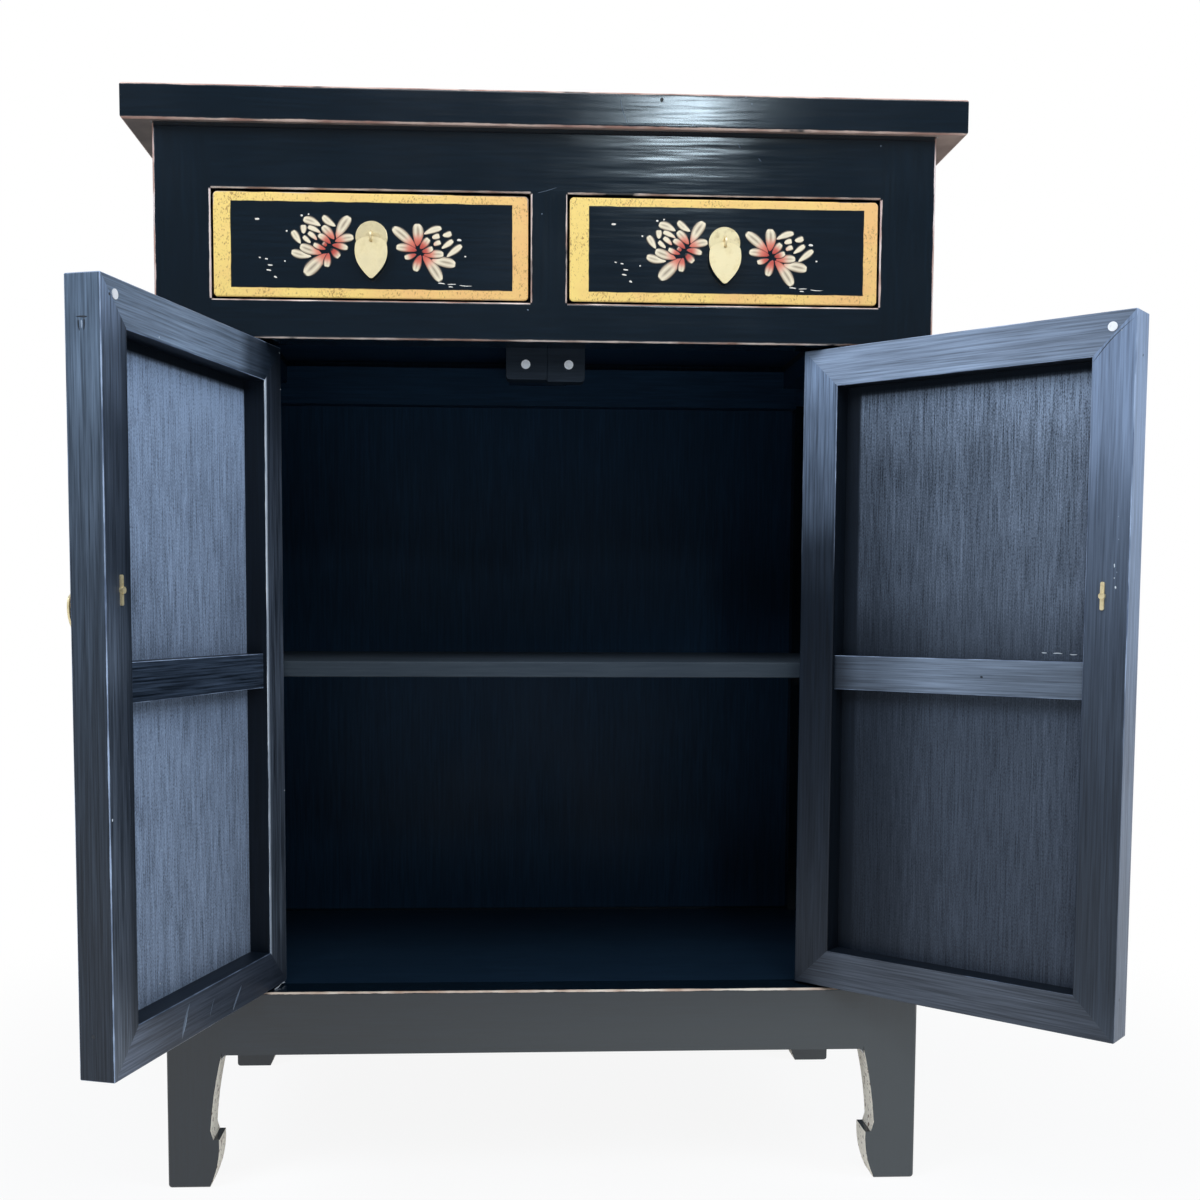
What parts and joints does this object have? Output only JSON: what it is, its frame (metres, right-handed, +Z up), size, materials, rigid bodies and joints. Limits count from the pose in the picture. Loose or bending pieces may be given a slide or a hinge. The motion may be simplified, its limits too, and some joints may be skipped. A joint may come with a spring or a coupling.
{
  "type": "wedding cabinet",
  "caption": "Small lacquered Chinese wedding cabinet with hoof feet, drawers above a pair of pin-hinged doors, a shelf and brass drop pulls.",
  "frame": {"origin": "on the floor under the middle of the bounding box of the whole object, with both doors standing open at their rest angles", "axes": "+Z up, the front faces -Y, and +X is to the right of someone who looks at the front"},
  "size_m": [0.8975, 0.674, 1.05],
  "materials": {
    "lacquered_wood": "dark blue-black lacquer, worn at the edges",
    "unfinished_wood": "aged wood without lacquer",
    "brass": "polished, lightly tarnished",
    "steel": "plain"
  },
  "bodies": {
    "cabinet": {"front_right_post": "lacquered_wood", "front_left_post": "lacquered_wood", "back_right_post": "lacquered_wood", "back_left_post": "lacquered_wood", "front_top_rail": "lacquered_wood", "front_middle_rail": "lacquered_wood", "front_bottom_rail": "lacquered_wood", "drawer_divider": "lacquered_wood", "side_top_rails": "lacquered_wood", "side_bottom_rails": "lacquered_wood", "right_side_panel": "lacquered_wood", "left_side_panel": "lacquered_wood", "back_top_rail": "lacquered_wood", "back_middle_rail": "lacquered_wood", "back_bottom_rail": "lacquered_wood", "back_panel": "lacquered_wood", "floor_board": "lacquered_wood", "shelf": "lacquered_wood", "shelf_cleats": "lacquered_wood", "side_runners": "lacquered_wood", "centre_runner": "lacquered_wood", "top_front_member": "lacquered_wood", "top_back_member": "lacquered_wood", "top_end_members": "lacquered_wood", "top_panel": "lacquered_wood", "top_battens": "unfinished_wood", "catch_block": "lacquered_wood", "catch_magnets": "steel"},
    "left_door": {"left_door_hinge_stile": "lacquered_wood", "left_door_free_stile": "lacquered_wood", "left_door_top_rail": "lacquered_wood", "left_door_bottom_rail": "lacquered_wood", "left_door_panel": "lacquered_wood", "left_door_batten": "lacquered_wood", "left_door_pivot_pins": "steel", "left_door_striker": "steel", "left_door_pull_plate": "brass"},
    "right_door": {"right_door_hinge_stile": "lacquered_wood", "right_door_free_stile": "lacquered_wood", "right_door_top_rail": "lacquered_wood", "right_door_bottom_rail": "lacquered_wood", "right_door_panel": "lacquered_wood", "right_door_batten": "lacquered_wood", "right_door_pivot_pins": "steel", "right_door_striker": "steel", "right_door_pull_plate": "brass"},
    "left_drawer": {"left_drawer_front": "lacquered_wood", "left_drawer_sides": "unfinished_wood", "left_drawer_back": "unfinished_wood", "left_drawer_bottom": "lacquered_wood", "left_drawer_pull_plate": "brass"},
    "right_drawer": {"right_drawer_front": "lacquered_wood", "right_drawer_sides": "unfinished_wood", "right_drawer_back": "unfinished_wood", "right_drawer_bottom": "lacquered_wood", "right_drawer_pull_plate": "brass"},
    "left_door_drop": {"left_door_pull_drop": "brass"},
    "right_door_drop": {"right_door_pull_drop": "brass"},
    "left_drawer_drop": {"left_drawer_pull_drop": "brass"},
    "right_drawer_drop": {"right_drawer_pull_drop": "brass"}
  },
  "joints": [
    {"name": "left_door_hinge", "type": "hinge", "parent": "cabinet", "child": "left_door", "pos_m": [-0.337, -0.05999, 0.508], "axis": [0, 0, -1], "range_deg": [-106.35, 33.65]},
    {"name": "right_door_hinge", "type": "hinge", "parent": "cabinet", "child": "right_door", "pos_m": [0.232, -0.05999, 0.508], "axis": [0, 0, 1], "range_deg": [-137.5, 2.5]},
    {"name": "left_drawer_slide", "type": "slide", "parent": "cabinet", "child": "left_drawer", "axis": [0, -1, 0], "range_m": [0, 0.3]},
    {"name": "right_drawer_slide", "type": "slide", "parent": "cabinet", "child": "right_drawer", "axis": [0, -1, 0], "range_m": [0, 0.3]},
    {"name": "left_drawer_drop_hinge", "type": "hinge", "parent": "left_drawer", "child": "left_drawer_drop", "pos_m": [-0.2195, -0.07779, 0.916], "axis": [-1, 0, 0], "range_deg": [-6, 100]},
    {"name": "right_drawer_drop_hinge", "type": "hinge", "parent": "right_drawer", "child": "right_drawer_drop", "pos_m": [0.1145, -0.07779, 0.916], "axis": [-1, 0, 0], "range_deg": [-6, 100]},
    {"name": "left_door_drop_hinge", "type": "hinge", "parent": "left_door", "child": "left_door_drop", "pos_m": [-0.42784, -0.30638, 0.581], "axis": [0.2815, 0.9596, 0], "range_deg": [-6, 100]},
    {"name": "right_door_drop_hinge", "type": "hinge", "parent": "right_door", "child": "right_door_drop", "pos_m": [0.43719, -0.22387, 0.581], "axis": [0.7373, -0.6756, 0], "range_deg": [-6, 100]}
  ]
}
